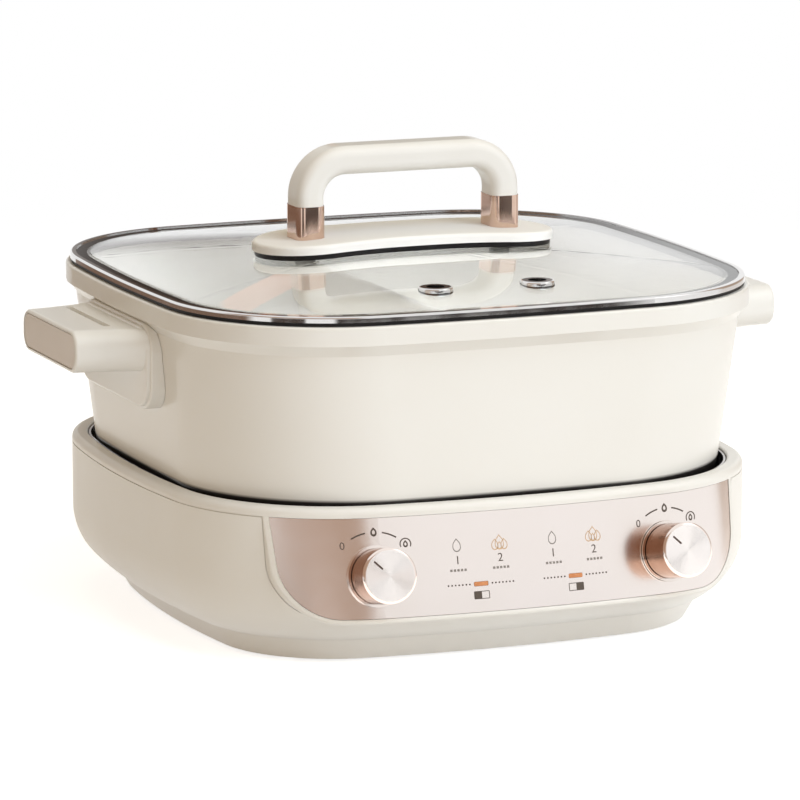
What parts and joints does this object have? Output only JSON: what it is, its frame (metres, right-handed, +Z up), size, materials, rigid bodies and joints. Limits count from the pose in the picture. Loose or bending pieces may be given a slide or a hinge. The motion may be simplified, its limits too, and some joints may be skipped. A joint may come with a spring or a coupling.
{
  "type": "electric hot pot with lid",
  "caption": "Square electric twin hot pot: lift-off domed glass lid, divided pot with side handles, heated base with leaning control panel and turning knobs.",
  "frame": {"origin": "middle of the whole object's bounding box in plan, on the plane its feet stand on", "axes": "+Z up, +X to the right as seen from the front, -Y towards the control panel"},
  "size_m": [0.365, 0.3252, 0.228],
  "materials": {
    "cream_housing": "satin cream moulding",
    "cream_pot": "satin cream coated cast aluminium",
    "cream_handle": "satin cream moulding",
    "cap_grey": "fine matt grey-pink inlay",
    "rose_gold": "anodised rose gold, fine satin",
    "knob_side": "anodised rose gold, polished side",
    "knob_face": "spun rose gold face",
    "bezel": "light polished ring",
    "rim_steel": "polished stainless steel",
    "pan_steel": "bright stainless steel",
    "dark_plastic": "black moulding",
    "cast_heater": "as cast, machined top",
    "tube_steel": "dark heating tube",
    "ceramic": "white ceramic",
    "board_green": "green circuit board",
    "amber_lens": "clear amber lens",
    "lid_glass": "clear tempered glass",
    "black_rubber": "black silicone",
    "foot_rubber": "dark grey rubber",
    "pin_brass": "plated brass"
  },
  "bodies": {
    "base": {"side_shell": "cream_housing", "bottom_cover": "cream_housing", "rubber_feet": "foot_rubber", "base_screws": "pan_steel", "top_ring": "cream_housing", "front_fascia": "rose_gold", "knob_bezel_left": "bezel", "switch_left": "dark_plastic", "indicator_left": "amber_lens", "knob_bezel_right": "bezel", "switch_right": "dark_plastic", "indicator_right": "amber_lens", "indicator_board": "board_green", "heat_shield": "pan_steel", "heater_tube_left": "tube_steel", "heater_left": "cast_heater", "heater_tube_right": "tube_steel", "heater_right": "cast_heater", "heater_posts": "ceramic", "thermal_cutouts": "dark_plastic", "sensor_holder": "pan_steel", "sensor_spring": "pan_steel", "inlet_socket": "dark_plastic", "inlet_pins": "pin_brass", "terminal_block": "dark_plastic"},
    "knob_left": {"knob_left": "knob_side", "knob_cap_left": "knob_face", "switch_shaft_left": "pan_steel"},
    "knob_right": {"knob_right": "knob_side", "knob_cap_right": "knob_face", "switch_shaft_right": "pan_steel"},
    "sensor": {"sensor_cap": "rim_steel"},
    "pot": {"pot_body": "cream_pot", "side_mount_left": "cream_handle", "side_handle_left": "cream_handle", "side_cap_left": "cap_grey", "side_mount_right": "cream_handle", "side_handle_right": "cream_handle", "side_cap_right": "cap_grey", "side_screws": "pan_steel"},
    "lid": {"lid_glass": "lid_glass", "lid_rim": "rim_steel", "lid_seal": "black_rubber", "vent_left": "rim_steel", "vent_right": "rim_steel", "handle_plate": "cream_handle", "handle_gasket": "black_rubber", "handle_grip": "cream_handle", "handle_ferrule_left": "rose_gold", "handle_ferrule_right": "rose_gold", "handle_washers": "black_rubber", "handle_screws": "pan_steel"}
  },
  "joints": [
    {"name": "pot_lift", "type": "slide", "parent": "base", "child": "pot", "axis": [0, 0, 1], "range_m": [0, 0.13]},
    {"name": "lid_lift", "type": "slide", "parent": "pot", "child": "lid", "axis": [0, 0, 1], "range_m": [0, 0.1]},
    {"name": "knob_left_turn", "type": "hinge", "parent": "base", "child": "knob_left", "pos_m": [-0.074, -0.13986, 0.048], "axis": [-0.0681, -0.9739, 0.2164], "range_deg": [-92, 0]},
    {"name": "knob_right_turn", "type": "hinge", "parent": "base", "child": "knob_right", "pos_m": [0.074, -0.13986, 0.048], "axis": [0.0681, -0.9739, 0.2164], "range_deg": [-92, 0]},
    {"name": "sensor_press", "type": "slide", "parent": "base", "child": "sensor", "axis": [0, 0, 1], "range_m": [-0.0015, 0], "stiffness_N_per_m": 400, "springref_m": 0.0025, "deforming": ["sensor_spring"]}
  ]
}
